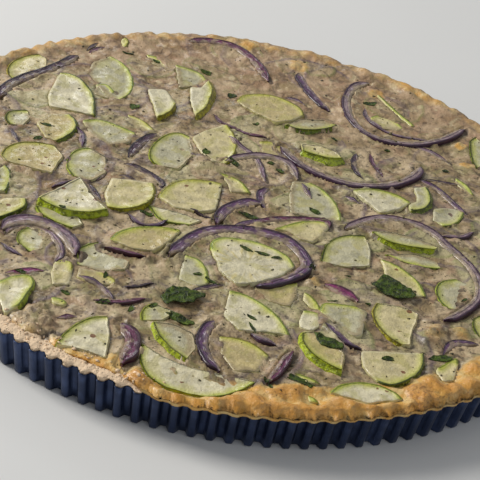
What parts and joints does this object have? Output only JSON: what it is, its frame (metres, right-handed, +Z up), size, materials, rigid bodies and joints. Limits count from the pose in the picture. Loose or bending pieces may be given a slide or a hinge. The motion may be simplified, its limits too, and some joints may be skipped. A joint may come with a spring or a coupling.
{
  "type": "vegetable tart in a tin",
  "caption": "Baked savoury custard tart with zucchini slices, red onion strips and herb leaves, in its own round fluted metal tin.",
  "frame": {"origin": "centre of the tin's base, on the surface it stands on", "axes": "+Z up through the tart, +Y to the back of the tart and +X to its right as the picture shows it"},
  "size_m": [0.3, 0.3, 0.0214],
  "materials": {
    "tin": "dark satin non-stick coating",
    "crust": "baked pastry, matt and crumbly",
    "custard": "baked egg custard, satin and mottled",
    "zucchini": "baked zucchini flesh, satin, with a green rind",
    "onion": "baked red onion, satin",
    "leaf": "baked herb leaf, slightly glossy"
  },
  "bodies": {
    "root": {"tin": "tin", "crust": "crust", "custard": "custard", "zucchini_01": "zucchini", "zucchini_02": "zucchini", "zucchini_03": "zucchini", "zucchini_04": "zucchini", "zucchini_05": "zucchini", "zucchini_06": "zucchini", "zucchini_07": "zucchini", "zucchini_08": "zucchini", "zucchini_09": "zucchini", "zucchini_10": "zucchini", "zucchini_11": "zucchini", "zucchini_12": "zucchini", "zucchini_13": "zucchini", "zucchini_14": "zucchini", "zucchini_15": "zucchini", "zucchini_16": "zucchini", "zucchini_17": "zucchini", "zucchini_18": "zucchini", "zucchini_19": "zucchini", "zucchini_20": "zucchini", "zucchini_21": "zucchini", "zucchini_22": "zucchini", "zucchini_23": "zucchini", "zucchini_24": "zucchini", "zucchini_25": "zucchini", "zucchini_26": "zucchini", "zucchini_27": "zucchini", "zucchini_28": "zucchini", "zucchini_29": "zucchini", "zucchini_30": "zucchini", "zucchini_31": "zucchini", "zucchini_32": "zucchini", "zucchini_33": "zucchini", "zucchini_34": "zucchini", "zucchini_35": "zucchini", "zucchini_36": "zucchini", "zucchini_37": "zucchini", "zucchini_38": "zucchini", "zucchini_39": "zucchini", "zucchini_40": "zucchini", "zucchini_41": "zucchini", "onion_01": "onion", "onion_02": "onion", "onion_03": "onion", "onion_04": "onion", "onion_05": "onion", "onion_06": "onion", "onion_07": "onion", "onion_08": "onion", "onion_09": "onion", "onion_10": "onion", "onion_11": "onion", "onion_12": "onion", "onion_13": "onion", "leaf_01": "leaf", "leaf_02": "leaf", "leaf_03": "leaf"}
  },
  "joints": []
}
